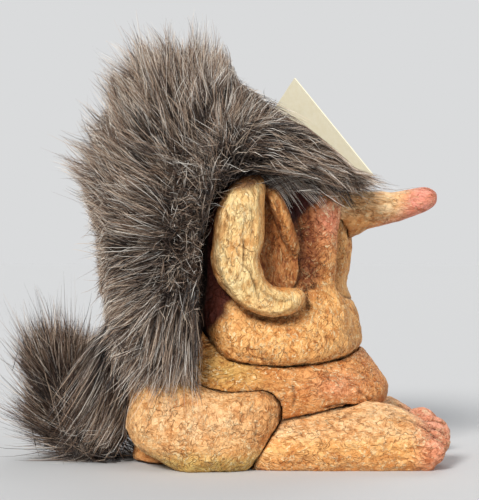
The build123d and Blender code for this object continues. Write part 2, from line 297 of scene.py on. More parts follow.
def new_material(name):
    material = bpy.data.materials.new(name)
    material.use_nodes = True
    tree = material.node_tree
    tree.nodes.clear()
    out = tree.nodes.new("ShaderNodeOutputMaterial")
    shader = tree.nodes.new("ShaderNodeBsdfPrincipled")
    tree.links.new(shader.outputs[0], out.inputs[0])
    return material, tree, shader


def gloss(shader, rough, specular):
    shader.inputs["Roughness"].default_value = rough
    shader.inputs["Specular IOR Level"].default_value = specular


def plain_material(name, rgb, rough, specular=0.3):
    material, _, shader = new_material(name)
    shader.inputs["Base Color"].default_value = (*rgb, 1)
    gloss(shader, rough, specular)
    return material


class Sheet:
    """Short ways to add and join shader nodes."""

    def __init__(self, tree, grain=None):
        self.tree = tree
        if grain:
            self.place = self.attribute(grain, "Vector")
        else:
            self.place = tree.nodes.new("ShaderNodeTexCoord").outputs["Object"]

    def feed(self, socket, value):
        if isinstance(value, (int, float)):
            socket.default_value = value
        elif isinstance(value, (tuple, list, np.ndarray)):
            socket.default_value = (*value, 1)
        else:
            self.tree.links.new(value, socket)

    def attribute(self, name, output="Fac"):
        node = self.tree.nodes.new("ShaderNodeAttribute")
        node.attribute_name = name
        return node.outputs[output]

    def noise(self, scale, detail, rough, vector=None, distortion=0.0, output="Fac"):
        node = self.tree.nodes.new("ShaderNodeTexNoise")
        node.inputs["Scale"].default_value = scale
        node.inputs["Detail"].default_value = detail
        node.inputs["Roughness"].default_value = rough
        node.inputs["Distortion"].default_value = distortion
        self.feed(node.inputs["Vector"], vector or self.place)
        return node.outputs[output]

    def warped(self, scale, amount):
        """Object coordinates pushed about, so that patterns on them look torn."""
        node = self.tree.nodes.new("ShaderNodeVectorMath")
        node.operation = "MULTIPLY_ADD"
        self.feed(node.inputs[0], self.noise(scale, 3, 0.6, output="Color"))
        node.inputs[1].default_value = (amount, amount, amount)
        self.feed(node.inputs[2], self.place)
        return node.outputs[0]

    def cells(self, scale, vector):
        """A random colour for each cell."""
        node = self.tree.nodes.new("ShaderNodeTexVoronoi")
        node.inputs["Scale"].default_value = scale
        self.feed(node.inputs["Vector"], vector)
        return node.outputs["Color"]

    def ramp(self, value, stops):
        node = self.tree.nodes.new("ShaderNodeValToRGB")
        while len(node.color_ramp.elements) < len(stops):
            node.color_ramp.elements.new(0.5)
        for element, (position, level) in zip(node.color_ramp.elements, stops):
            element.position = position
            element.color = (level, level, level, 1) if isinstance(level, (int, float)) else (*level, 1)
        self.feed(node.inputs["Fac"], value)
        return node.outputs["Color"]

    def mix(self, share, a, b, blend="MIX"):
        node = self.tree.nodes.new("ShaderNodeMix")
        node.data_type = "RGBA"
        node.blend_type = blend
        self.feed(node.inputs["Factor"], share)
        self.feed(node.inputs["A"], a)
        self.feed(node.inputs["B"], b)
        return node.outputs["Result"]

    def times(self, share, a, b):
        """A colour multiplied by another, by a share."""
        return self.mix(share, a, b, "MULTIPLY")

    def calc(self, operation, a, b=0.0):
        node = self.tree.nodes.new("ShaderNodeMath")
        node.operation = operation
        self.feed(node.inputs[0], a)
        self.feed(node.inputs[1], b)
        return node.outputs[0]

    def product(self, a, b):
        return self.calc("MULTIPLY", a, b)

    def lines(self, scale, detail, thin, vector):
        """Thin winding lines where a noise passes through its middle."""
        level = self.noise(scale, detail, 0.55, vector, 0.6)
        off = self.calc("ABSOLUTE", self.calc("SUBTRACT", level, 0.5))
        return self.ramp(off, [(0.0, 1.0), (thin, 0.0)])


def skin_material():
    """A matt moulded skin of crumpled flakes: painted highlights on the crests, browner pits, a few winding
    cracks, and painted shade in hollows and creases.
    """
    material, tree, shader = new_material("troll_skin")
    s = Sheet(tree, "grain")
    torn = s.warped(240, 0.0035)
    shred = s.warped(520, 0.0022)
    fibres = s.noise(430, 2, 0.55, torn, 2.2)
    flakes = s.noise(900, 1.5, 0.5, torn, 1.4)
    patches = s.noise(85, 3, 0.6)
    plate = s.cells(430, torn)
    chip = s.cells(820, shred)
    mask_one = s.ramp(s.noise(150, 2, 0.6), [(0.45, 0.0), (0.53, 1.0)])
    mask_two = s.ramp(s.noise(210, 2, 0.6, torn), [(0.48, 0.0), (0.57, 1.0)])
    cracks = s.product(s.lines(300, 1.5, 0.03, torn), mask_one)
    fine_cracks = s.product(s.lines(620, 1.5, 0.045, torn), mask_two)
    threads = s.product(s.lines(480, 1.5, 0.03, s.warped(330, 0.005)), mask_two)

    base = s.attribute("paint", "Color")
    base = s.times(s.ramp(patches, [(0.36, 0.8), (0.5, 0.0)]), base, (0.88, 0.75, 0.6))
    base = s.times(s.ramp(plate, [(0.25, 0.7), (0.5, 0.0)]), base, (0.84, 0.7, 0.55))
    base = s.times(s.ramp(chip, [(0.28, 0.8), (0.45, 0.0)]), base, (0.76, 0.62, 0.48))
    lively = s.attribute("lively")
    for pattern, strength, shade in ((fibres, 0.85, (0.5, 0.34, 0.22)), (flakes, 0.75, (0.54, 0.4, 0.28))):
        dark = s.ramp(pattern, [(0.33, strength), (0.41, 0.0)])
        base = s.times(s.product(lively, dark), base, shade)
    base = s.times(s.product(cracks, 0.55), base, (0.4, 0.26, 0.17))
    base = s.times(s.product(fine_cracks, 0.3), base, (0.5, 0.35, 0.24))
    # painted highlight: bare skin is mixed towards cream on the crests of the fibres and flakes; the pale
    # threads are the skin's own fibres
    crests = s.ramp(fibres, [(0.48, 0.0), (0.56, 1.0)])
    lit = s.product(s.ramp(flakes, [(0.56, 0.0), (0.64, 1.0)]), crests)
    pale = s.product(s.calc("MAXIMUM", lit, threads), s.product(s.attribute("bare"), 0.6))
    base = s.mix(pale, base, srgb(255, 238, 190))
    # painted shade: the brown share darkens the paint in the ear's hollow, the valley by the ear, beside and
    # under the nose and along the lobe
    painted_shade = s.product(s.attribute("brown"), s.ramp(fibres, [(0.36, 1.0), (0.64, 0.6)]))
    base = s.times(painted_shade, base, (0.34, 0.21, 0.12))
    # dark washed-in paint and painted shade in the cracks, creases and seams, from the groove share
    wash_and_shade = s.product(s.attribute("groove"), s.ramp(flakes, [(0.36, 1.0), (0.64, 0.55)]))
    base = s.times(wash_and_shade, base, (0.11, 0.07, 0.05))
    s.feed(shader.inputs["Base Color"], base)
    gloss(shader, 0.6, 0.35)

    height = s.calc("ADD", fibres, s.product(flakes, 0.34))
    height = s.calc("ADD", height, s.product(chip, 0.16))
    height = s.calc("ADD", height, s.product(plate, 0.16))
    height = s.calc("SUBTRACT", height, s.product(cracks, 0.3))
    height = s.calc("ADD", height, s.product(threads, 0.12))
    bump = tree.nodes.new("ShaderNodeBump")
    bump.inputs["Distance"].default_value = 0.0011
    s.feed(bump.inputs["Height"], height)
    s.feed(shader.inputs["Normal"], bump.outputs[0])
    return material


def hair_material():
    """Strands that are dark at the root and paler at the tip; u picks the strand's tone, v runs along it."""
    material, tree, shader = new_material("troll_hair")
    s = Sheet(tree)
    uv = tree.nodes.new("ShaderNodeUVMap")
    uv.uv_map = "OFBake"
    split = tree.nodes.new("ShaderNodeSeparateXYZ")
    s.feed(split.inputs[0], uv.outputs[0])
    tone, along = split.outputs[0], split.outputs[1]
    root = s.ramp(tone, [(0.0, srgb(14, 10, 9)), (0.6, srgb(38, 30, 27)), (1.0, srgb(92, 78, 70))])
    tip = s.ramp(tone, [
        (0.0, srgb(32, 22, 17)), (0.35, srgb(90, 66, 53)), (0.62, srgb(174, 143, 119)),
        (0.82, srgb(238, 214, 188)), (1.0, srgb(255, 250, 240)),
    ])
    s.feed(shader.inputs["Base Color"], s.mix(s.ramp(along, [(0.25, 0.0), (0.9, 1.0)]), root, tip))
    gloss(shader, 0.4, 0.45)
    return material


def undercoat_material():
    """Dense short fur seen between the strands: dark with paler streaks; the darkness is painted shade deep
    in the coat.
    """
    material, tree, shader = new_material("undercoat")
    s = Sheet(tree)
    stretch = tree.nodes.new("ShaderNodeMapping")
    stretch.inputs["Scale"].default_value = (0.35, 1.0, 0.22)
    s.feed(stretch.inputs["Vector"], s.warped(160, 0.006))
    streaks = s.noise(3600, 2, 0.6, stretch.outputs[0])
    s.feed(shader.inputs["Base Color"], s.ramp(streaks, [
        (0.4, srgb(12, 9, 8)), (0.54, srgb(30, 24, 21)), (0.66, srgb(72, 60, 52)),
    ]))
    gloss(shader, 0.9, 0.1)
    bump = tree.nodes.new("ShaderNodeBump")
    bump.inputs["Distance"].default_value = 0.0008
    s.feed(bump.inputs["Height"], streaks)
    s.feed(shader.inputs["Normal"], bump.outputs[0])
    return material


def card_material():
    material, tree, shader = new_material("card")
    s = Sheet(tree)
    pulp = s.noise(500, 3, 0.7)
    s.feed(shader.inputs["Base Color"], s.mix(pulp, srgb(255, 250, 230), srgb(240, 231, 196)))
    gloss(shader, 0.8, 0.2)
    return material


def eye_material():
    material, tree, shader = new_material("eye_glass")
    s = Sheet(tree)
    s.feed(shader.inputs["Base Color"], s.attribute("paint", "Color"))
    gloss(shader, 0.08, 0.6)
    shader.inputs["Coat Weight"].default_value = 0.6
    return material


SKIN = skin_material()
HAIR = hair_material()
EYE = eye_material()
CARD = card_material()
UNDERCOAT = undercoat_material()
WOOD = plain_material("dowel_wood", srgb(200, 160, 112), 0.7)
HIDE = plain_material("hide", srgb(46, 32, 25), 0.9, 0.15)


# Moulded lumps

skin_trees = {name: tree_of(nodes[name]) for name in SKIN_NODES}


class Clay:
    """The points of one lump and what its surface gets: moves in or out, paint, painted brown shade, and dark
    washed-in paint with painted shade in grooves.
    """

    def __init__(self, mesh):
        self.co = coords(mesh)
        self.no = normals(mesh)
        self.x, self.y, self.z = self.co.T
        self.out = np.abs(self.y)
        self.move = np.zeros(len(self.co))
        self.press = np.zeros(len(self.co))
        self.groove = np.zeros(len(self.co))
        self.brown = np.zeros(len(self.co))
        self.bare = np.ones(len(self.co))
        self.lively = np.full(len(self.co), 0.8)
        self.paint = np.tile(OCHRE, (len(self.co), 1))

    def along(self, run, width, where=1.0):
        """A share of 1 on a run of the side view, fading over the width."""
        d, t = run_distance(self.co[:, (0, 2)], run)
        ends = np.minimum(1, np.minimum(t, 1 - t) * 6 + 0.2)
        return np.exp(-(d / width) ** 2) * ends * where

    # a pressed-in line whose groove gets dark washed-in paint and painted shade
    def crack(self, run, width, depth, where=1.0, wash_and_shade=0.85):
        share = self.along(run, width, where)
        self.move -= depth * share
        self.groove = np.maximum(self.groove, wash_and_shade * share)

    def tint(self, colour, share):
        share = np.clip(share, 0, 1)[:, None]
        self.paint = self.paint * (1 - share) + np.asarray(colour) * share

    # painted shade: darkens the paint towards brown where shade falls
    def shade(self, share):
        self.brown = np.maximum(self.brown, share)


# Where the shapes are set out from: the mouth's height and curve, the ear's outer side, the foot's middle
# and the gaps between the toes across it
MOUTH_HIGH, MOUTH_CURVE, EAR_SIDE, FOOT_MIDDLE = 57.5, 0.014, 37.5, 21.5
TOE_GAPS = (6.2, 0.6, -5.2)


def shape_head(c):
    side = smooth(c.out, 8, 14)
    front = smooth(c.x, 27, 34)
    c.tint(PINK, 0.85 * bump_at(c.x, c.z, (30.5, 86), (6.5, 9)) * side)
    c.tint(RUST, 0.5 * bump_at(c.x, c.z, (24, 94), (9, 8)) * side)
    c.tint(RUST, 0.35 * smooth(c.z, 60, 68) * side)
    # the muzzle falls back under the nose and the cheeks fold against it, with painted shade in the fold
    c.move -= 1.7 * np.exp(-((c.z - 63) / 5) ** 2) * front
    fold = np.exp(-((c.out - 12.6) / 1.5) ** 2) * smooth(c.x, 27, 30)
    fold = fold * smooth(c.z, 59, 64) * (1 - smooth(c.z, 90, 95))
    c.move -= 1.1 * fold
    c.groove = np.maximum(c.groove, 0.9 * fold)
    # mouth, pressed in and darkened with washed-in paint and painted shade
    line = MOUTH_HIGH + MOUTH_CURVE * c.out ** 2
    mouth = np.exp(-((c.z - line) / 0.7) ** 2) * front * (1 - smooth(c.out, 9, 13))
    lips = (np.exp(-((c.z - line - 2.4) / 1.6) ** 2) + np.exp(-((c.z - line + 2.6) / 1.8) ** 2)) * front
    c.move += 0.15 * lips * (1 - smooth(c.out, 8, 13)) - 0.5 * mouth
    c.groove = np.maximum(c.groove, 0.8 * mouth)
    # lids round the eyes, with washed-in paint and painted shade in the crease by the eye
    middle, radius = ball("eye_left")
    off = np.linalg.norm(np.stack([c.x, c.out, c.z], axis=1) - middle, axis=1) - radius
    c.move += 0.7 * np.exp(-(off - 1.6) ** 2)
    c.groove = np.maximum(c.groove, 0.8 * np.exp(-((off - 0.4) / 0.5) ** 2))
    # the valley between the ear's ridge and the cheek: pressed in, with painted shade and a darker brown
    # stain in it
    valley = [(13.5, 99), (17.6, 91), (20.8, 83), (22.6, 75), (23.2, 67), (23, 60)]
    c.move -= 1.7 * c.along(valley, 3.4, side)
    c.shade(1.6 * c.along(valley, 5.4, side))
    c.tint(srgb(150, 82, 34), 0.7 * c.along(valley, 4.6, side))
    # painted shade in the corner beside the nose
    beside_nose = smooth(c.out, 6, 10) * (1 - smooth(c.out, 12.4, 14))
    c.shade(0.7 * smooth(c.x, 30, 33) * beside_nose * smooth(c.z, 61, 66))
    c.crack([(15.4, 95.6), (18.4, 89), (21, 82), (22.4, 76)], 0.6, 0.9, side)
    c.move += 0.9 * c.along([(29, 97), (30.6, 88), (30, 78), (28.6, 68)], 3.4, side)
    # notch and slits round the lobe
    c.crack([(21.6, 60.8), (24, 61.8), (27, 63)], 0.55, 1.1, side)
    c.crack([(23.2, 60.4), (23.6, 57), (23, 54.4)], 1.0, 1.2, side, 0.8)
    lobe = [(1, 54.8), (5, 52.6), (8.8, 51.6), (14.4, 50.8), (18.7, 52.6), (22, 54.4)]
    crumbs = 0.35 + 0.65 * smooth(lumps(c.co, 2.2, 2, 61), -0.3, 0.25)
    c.crack(lobe, 1.0, 1.3, side * crumbs, 0.85)
    # painted shade along the lobe's lower edge
    c.shade(0.6 * c.along(lobe, 2.6, side))
    c.crack([(29.6, 80.4), (31.4, 80.1)], 0.35, 0.4, side, 0.6)
    # folds of the jaw
    c.crack([(28, 46), (33, 43.6), (36, 39)], 0.5, 0.5, side, 0.4)
    c.crack([(-4, 41), (3, 38.4), (12, 37.4)], 0.5, 0.4, side, 0.35)
    # dark red paint behind the ear, and painted shade on the scalp under the hair
    red = smooth(0.8 * (c.z - 58) - 1 - c.x + 3 * lumps(c.co, 4, 2, 63), -2, 2)
    scalp = np.maximum(smooth(c.z, 101, 104), smooth(-c.x + 0.8 * lumps(c.co, 4, 2, 64), 9, 13))
    c.tint(DARK_RED, 0.97 * red)
    c.tint(SHADE_UNDER_FUR, scalp)
    c.bare *= 1 - np.maximum(red, scalp)


def shape_nose(c):
    tip = smooth(c.x + 0.8 * (92 - c.z), 50, 62)
    c.tint(PINK, 0.8 * tip)
    # painted highlight: the upper side of the nose root is paler
    c.tint(srgb(255, 216, 166), 0.95 * (1 - smooth(c.x, 54, 62)) * smooth(c.z, 84, 89))
    c.lively *= 0.4
    # painted shade under the nose root: rustier and browner
    c.tint(RUST, 0.4 * (1 - smooth(c.x, 40, 52)) * smooth(86 - c.z, -1, 5))
    c.move *= 1 - 0.6 * smooth(c.x, 48, 60)
    c.shade(0.6 * (1 - smooth(c.x, 38, 48)) * smooth(86 - c.z, 0, 5))
    c.bare *= 1 - 0.5 * tip
    c.crack([(44, 86), (47, 85.4), (52, 86.6)], 0.5, 0.5, 1.0, 0.5)


def shape_ear(c):
    # the flap is pressed flat on its outer side
    level = EAR_SIDE + 2.3 * smooth(c.z, 57, 68) - 2.4 * smooth(c.z, 90, 100)
    over = np.maximum(c.out - level, 0)
    c.press = -np.sign(c.y) * 0.9 * over
    c.lively *= 1 - 0.45 * smooth(c.out, level - 3, level - 1)
    warm = 0.55 + 0.45 * smooth(lumps(c.co, 7, 2, 67), -0.35, 0.3)
    c.tint(srgb(255, 222, 158), 0.97 * smooth(c.out, level - 3.5, level - 0.5) * warm)
    # painted shade in the ear's hollow under the flap, browner and rustier
    hollow = (1 - smooth(c.out, 28, 35)) * smooth(c.x, 3, 7)
    c.shade(0.95 * hollow)
    c.tint(RUST, 0.3 * hollow)
    rim = smooth(c.no[:, 2] + 0.15 * lumps(c.co, 3, 2, 65), 0.3, 0.6) * smooth(c.z, 93, 96)
    edge = 0.6 * smooth(0.2 * lumps(c.co, 3, 2, 68) - c.no[:, 0], 0.55, 0.9)
    red = np.maximum(smooth(-c.x, 4, 8) * (1 - smooth(c.out, 33, 37)), np.maximum(0.9 * rim, edge))
    c.tint(DARK_RED, 0.85 * red)
    c.bare *= 1 - 0.8 * red
    face = smooth(c.out, level - 3, level - 1.4)
    c.crack([(1.3, 81.2), (1.5, 75), (1.5, 70), (3.7, 67.5), (5.6, 62), (6.7, 57.8)], 0.42, 1.1, face)
    c.crack([(6.2, 63), (9.4, 59.4), (14, 57.6), (18.4, 58.6)], 0.4, 0.5, face, 0.6)
    c.crack([(-4.6, 88), (-3.4, 84.4)], 0.35, 0.5, face, 0.6)
    c.crack([(3.6, 90), (4.6, 84), (3.6, 78)], 0.4, 0.5, face, 0.5)
    c.crack([(-6, 76), (-4.2, 72)], 0.35, 0.4, face, 0.5)
    c.crack([(8.6, 96), (11.6, 92.6), (14.4, 84.8), (17, 79.4)], 0.4, 0.4, 1 - face, 0.5)


def shape_torso(c):
    side = smooth(c.out, 10, 16)
    c.tint(RUST, np.full(len(c.x), 0.55))
    c.tint(GREEN, 0.6 * bump_at(c.x, c.z, (-5, 34), (13, 9)))
    c.tint(PINK, 0.3 * bump_at(c.x, c.z, (34, 28), (9, 5)))
    # painted shade on the lower rump, under the tail
    rump = smooth(-c.x, 24, 29) * (1 - smooth(c.z, 14, 20)) * smooth(c.z, 5, 9)
    c.tint(SHADE_UNDER_FUR, 0.9 * rump)
    c.bare *= 1 - rump
    for run, width, depth in (
        ([(28, 20.6), (36, 21.8), (42, 20.6), (49, 19.4)], 0.6, 0.9),
        ([(25, 18.4), (33, 19.6), (40, 18.2), (46, 17.6)], 0.5, 0.7),
        ([(18, 30), (19, 25), (18, 20.6)], 0.45, 0.6),
        ([(40, 27), (43.6, 24.4), (46, 20)], 0.4, 0.5),
        ([(2, 38.6), (10, 36.8), (18, 36)], 0.5, 0.6),
    ):
        c.crack(run, width, depth, side)
    c.move += 0.7 * c.along([(22, 26), (32, 27), (42, 25)], 3.2, side)


def shape_haunch(c):
    c.tint(PEACH, 0.9 * bump_at(c.x, c.z, (-16, 18), (20, 11)))
    c.tint(RUST, 0.4 * smooth(c.x, -4, 8) * smooth(c.z, 4, 10))
    c.tint(GREEN, 0.75 * smooth(-c.z + 1.5 * lumps(c.co, 8, 2, 66), -9, -2))
    c.tint(GREEN, 0.45 * smooth(c.z, 26, 32))
    c.crack([(-30, 12), (-24, 8), (-16, 5.6)], 0.4, 0.3, 1.0, 0.3)
    c.crack([(2, 22), (6, 16), (5, 9)], 0.45, 0.35, 1.0, 0.3)


def shape_foot(c):
    c.tint(PEACH, 0.7 * smooth(c.z, 8, 14))
    c.tint(PINK, 0.6 * smooth(c.x, 56, 66))
    c.tint(RUST, 0.35 * smooth(-c.z, -8, -1))
    across = c.out - FOOT_MIDDLE
    # slits between the toes, pressed in and darkened with washed-in paint and painted shade
    for gap in TOE_GAPS:
        slit = np.exp(-((across - gap) / 0.75) ** 2) * smooth(c.x, 55, 61) * smooth(c.z, 2, 7)
        c.move -= 1.0 * slit
        c.groove = np.maximum(c.groove, 0.9 * slit)
    c.crack([(30, 17), (38, 18.4), (46, 18)], 0.5, 0.5, smooth(across, 4, 9), 0.4)
    c.crack([(20, 9), (30, 7), (40, 7.6)], 0.4, 0.35, smooth(across, 4, 9), 0.3)


# How each kind of lump is shaped and its fibres stretched: less than 1 draws them out along that way
LUMPS = {
    "head": (shape_head, (0.85, 1, 0.7)), "nose": (shape_nose, (0.5, 1, 1)), "ear": (shape_ear, (1, 1, 0.45)),
    "torso": (shape_torso, (0.6, 0.75, 1)), "haunch": (shape_haunch, (0.85, 1, 0.75)),
    "foot": (shape_foot, (0.6, 1, 0.9)),
}


def seam_shade(name, co):
    """A share of 1 where a lump meets the lumps beside it."""
    share = np.zeros(len(co))
    reach = 4.0
    for other, tree in skin_trees.items():
        if other == name:
            continue
        low, high = box_of(other)
        near = np.all((co > low - reach) & (co < high + reach), axis=1)
        if near.any():
            d = distance_to(tree, co[near], reach)
            wide = 0.55 + 0.6 * smooth(lumps(co[near], 9, 2, 73), -0.4, 0.4)
            share[near] = np.maximum(share[near], np.exp(-(d / wide) ** 2))
    return share


def sculpt(name):
    obj = remeshed("skin_" + name, nodes[name], SKIN_VOXEL, 4)
    mesh = obj.data
    clay = Clay(mesh)
    shape, stretch = LUMPS[name.split("_")[0]]
    grain = clay.co * np.array(stretch)
    clay.move = 0.45 * lumps(clay.co, 11, 2, 5) + 0.34 * folds(grain, 4.6, 2, 9)
    clay.move += 0.3 * folds(grain, 2.3, 2, 21)
    # where a lump meets its neighbours it is pressed in and darkened with washed-in paint and painted shade
    seam = seam_shade(name, clay.co)
    clay.move -= 0.4 * seam
    clay.groove = seam * (0.5 + 0.45 * smooth(lumps(clay.co, 7, 2, 71), -0.3, 0.35))
    shape(clay)
    co = clay.co + clay.no * clay.move[:, None]
    co[:, 1] += clay.press
    co[:, 2] = np.maximum(co[:, 2], 0)
    put_coords(mesh, co)
    for key in ("groove", "brown", "bare", "lively"):
        float_attribute(mesh, key, np.clip(getattr(clay, key), 0, 1))
    colour_attribute(mesh, "paint", np.clip(clay.paint, 0, 1))
    vector_attribute(mesh, "grain", grain * MM)
    shade_smooth(mesh)
    mesh.materials.append(SKIN)
    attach(obj, "figure")
    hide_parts(name)


for skin_node in SKIN_NODES:
    sculpt(skin_node)


# Eyes: an amber bead with a dark pupil that looks forwards and a little outwards

def eye_bead(name):
    middle, radius = ball(name)
    mesh = bpy.data.meshes.new("bead_" + name)
    bm = bmesh.new()
    bmesh.ops.create_uvsphere(bm, u_segments=48, v_segments=32, radius=radius * MM)
    bm.to_mesh(mesh)
    bm.free()
    co = coords(mesh)
    gaze = unit(np.array([1.0, 0.25 * np.sign(middle[1]), -0.05]))
    off = np.degrees(np.arccos(np.clip(unit(co) @ gaze, -1, 1)))
    iris = np.where(off[:, None] < 46, srgb(150, 84, 24), srgb(236, 226, 206))
    paint = np.where(off[:, None] < 21, srgb(8, 6, 5), iris)
    colour_attribute(mesh, "paint", paint)
    put_coords(mesh, co + middle)
    shade_smooth(mesh)
    mesh.materials.append(EYE)
    obj = add_object("bead_" + name, mesh)
    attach(obj, "figure")
    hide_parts(name)


eye_bead("eye_right")
eye_bead("eye_left")

# Pieces that keep their solid
for name, material in (
    ("neck_dowel", WOOD), ("hip_dowel", WOOD), ("nose_peg", WOOD), ("mane_pelt", HIDE), ("tail_core", HIDE),
    ("paper_tag", CARD),
):
    nodes[name].data.materials.clear()
    nodes[name].data.materials.append(material)


# Fur

rng = np.random.default_rng(7)


def ribbons(name, path, width, tone, body):
    """Thin tapering strips along the paths, one strip a strand."""
    count, rows = path.shape[0], path.shape[1]
    steps = rows - 1
    tangent = unit(np.gradient(path, axis=1))
    side = unit(np.cross(tangent, unit(rng.normal(size=(count, 1, 3)))))
    t = np.linspace(0, 1, rows)
    half = width[:, None, None] / 2 * (1 - 0.9 * t ** 1.6)[None, :, None]
    verts = np.stack([path - side * half, path + side * half], axis=2).reshape(-1, 3)
    first = (np.arange(count) * rows * 2)[:, None] + (np.arange(steps) * 2)[None, :]
    quads = np.stack([first, first + 1, first + 3, first + 2], axis=2).reshape(-1, 4)
    mesh = bpy.data.meshes.new(name)
    mesh.vertices.add(len(verts))
    mesh.vertices.foreach_set("co", (verts * MM).ravel())
    mesh.loops.add(len(quads) * 4)
    mesh.loops.foreach_set("vertex_index", quads.ravel().astype(np.int32))
    mesh.polygons.add(len(quads))
    mesh.polygons.foreach_set("loop_start", (np.arange(len(quads)) * 4).astype(np.int32))
    mesh.polygons.foreach_set("use_smooth", np.ones(len(quads), bool))
    mesh.update(calc_edges=True)
    low = np.broadcast_to(np.arange(steps)[None, :] / steps, (count, steps))
    v = np.clip(np.stack([low, low, low + 1 / steps, low + 1 / steps], axis=2), 0.01, 0.99)
    u = np.broadcast_to(tone[:, None, None], (count, steps, 4))
    layer = mesh.uv_layers.new(name="OFBake")
    layer.data.foreach_set("uv", np.stack([u, v], axis=3).ravel().astype(np.float32))
    mesh.materials.append(HAIR)
    obj = add_object(name, mesh)
    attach(obj, body)


def columns(*parts):
    """Points or ways from their three parts, each one number or a number a strand."""
    return np.stack(np.broadcast_arrays(*parts), axis=1)


def strand_paths(root, start, end, length, wave, rows=6):
    """Paths that leave the root one way and bend into another, with a slight wave."""
    t = np.linspace(0, 1, rows)[None, :, None]
    start, end = unit(start)[:, None, :], unit(end)[:, None, :]
    path = root[:, None, :] + length[:, None, None] * (start * t + (end - start) * t * t / 2)
    phase = rng.uniform(0, 2 * math.pi, (len(root), 1, 3))
    amount = wave * rng.uniform(0.2, 1.0, (len(root), 1, 1))
    return path + amount * np.sin(phase + t * rng.uniform(2, 6, (len(root), 1, 3))) * t


def gather(path, per_clump, strength, reach=14):
    """Draws strands towards the nearest of a few leading strands, so that tips meet in tufts."""
    count = len(path)
    leaders = rng.choice(count, max(count // per_clump, 1), replace=False)
    finder = KDTree(len(leaders))
    middle = path.shape[1] // 2
    for n, k in enumerate(leaders):
        finder.insert(path[k, middle], n)
    finder.balance()
    mine = leaders[[finder.find(p)[1] for p in path[:, middle]]]
    t = np.linspace(0, 1, path.shape[1])[None, :, None]
    pull = strength * rng.uniform(0.3, 1.0, (count, 1, 1)) * t ** 1.4
    lead = path[mine]
    far = np.linalg.norm(lead[:, -1] - path[:, -1], axis=1) > reach
    pull[far] = 0
    return path + (lead - path) * pull


def outer_triangles(obj, blockers):
    """Triangles of a solid whose outward side is open, as corners, normals and areas."""
    mesh = clean_mesh(obj, "outer")
    mesh.calc_loop_triangles()
    co = coords(mesh)
    tri = np.empty(len(mesh.loop_triangles) * 3, np.int32)
    mesh.loop_triangles.foreach_get("vertices", tri)
    corners = co[tri.reshape(-1, 3)]
    bpy.data.meshes.remove(mesh)
    cross = np.cross(corners[:, 1] - corners[:, 0], corners[:, 2] - corners[:, 0])
    area = np.linalg.norm(cross, axis=1) / 2
    normal = unit(cross)
    middle = corners.mean(axis=1)
    is_open = np.ones(len(area), bool)
    for n, (m, d) in enumerate(zip(middle, normal)):
        start = Vector(m + d * 0.4)
        way = Vector(d)
        is_open[n] = all(tree.ray_cast(start, way, 45)[0] is None for tree in blockers)
    return corners[is_open], normal[is_open], area[is_open]


def scatter(surface, count, density=None):
    """Random places on the open triangles of a solid, with their normals."""
    corners, normal, area = surface
    weight = area if density is None else area * density(corners.mean(axis=1), normal)
    pick = rng.choice(len(area), count, p=weight / weight.sum())
    r1, r2 = np.sqrt(rng.uniform(size=(count, 1))), rng.uniform(size=(count, 1))
    a, b, c = corners[pick, 0], corners[pick, 1], corners[pick, 2]
    return (1 - r1) * a + r1 * (1 - r2) * b + r1 * r2 * c, normal[pick]


def comb(points, keys):
    """Blends the combing ways set at places of the side view."""
    keys = np.array(keys, float)
    places, ways = keys[:, :2], keys[:, 2:]
    d = np.linalg.norm(points[:, None, [0, 2]] - places[None], axis=2)
    weight = 1 / (d + 2.5) ** 3.2
    flow = (weight / weight.sum(axis=1)[:, None]) @ unit(ways)
    out = np.zeros((len(points), 3))
    out[:, 0], out[:, 2] = flow[:, 0], flow[:, 1]
    return unit(out)


def push_out(path, names, gap):
    """Lifts strand points out of the moulded lumps."""
    flat = path.reshape(-1, 3)
    for name in names:
        low, high = box_of(name)
        inside = np.where(np.all((flat > low) & (flat < high), axis=1))[0]
        for n in inside:
            place, normal, _, _ = skin_trees[name].find_nearest(flat[n], 12)
            if place is not None and (Vector(flat[n]) - place).dot(normal) < gap:
                flat[n] = place + normal * gap
    return flat.reshape(path.shape)


def coat(surface, count, keys, lift, spread, depths, over, longest, wave=0.5, density=None):
    """Fur that starts under a solid's surface and lies along the combing."""
    p, n = scatter(surface, count, density)
    way = comb(p, keys)
    # tufts lean their own way
    tuft = np.stack([lumps(p, 9, 2, seed) for seed in (41, 42, 43)], axis=1)
    noise = rng.normal(scale=spread, size=p.shape) + 0.9 * tuft
    start = unit(way * 0.7 + n * lift + noise)
    end = unit(way + n * lift * 0.25 + noise * 0.8)
    depth = rng.uniform(*depths, count)
    rise = np.clip(np.einsum("ij,ij->i", unit(start + end), n), 0.28, 1)
    beyond = rng.triangular(*over, count) + TUFT_RISE * lumps(p, 13, 2, 44)
    beyond += EDGE_MORE * (1 - smooth(p[:, 2], 46, 60)) * (p[:, 0] > -45)
    low_back = smooth(-p[:, 0], 38, 50) * (1 - smooth(p[:, 2], 64, 96)) * smooth(p[:, 2], 44, 50)
    beyond -= BACK_LESS * low_back
    length = np.clip((depth + beyond) / rise, 7, longest * rng.uniform(0.7, 1, count))
    return strand_paths(p - n * depth[:, None], start, end, length, wave)


def tones(count, paler=0.0):
    return np.clip(rng.normal(0.54 + paler, 0.34, count), 0.01, 0.99)


def hairline(path):
    """The height of the hair's lower edge at each point; it rises a little over the eyes."""
    off = np.abs(path[:, :, 1])
    over_eye = smooth(path[:, :, 0], 24, 30) * smooth(off, 6, 9) * (1 - smooth(off, 18, 22))
    return np.interp(path[:, :, 0], *zip(*HAIRLINE)) + EYE_RISE * over_eye


def keep_off_face(path, stray):
    """Drops the strands that hang below the hairline, but for a few stray ones."""
    edge = hairline(path)
    hang = np.where(path[:, :, 0] > FACE_BACK, edge - path[:, :, 2], 0).max(axis=1)
    keep = (hang < HANG_ANY) | ((rng.uniform(size=len(path)) < stray) & (hang < HANG_STRAY))
    return path[keep]


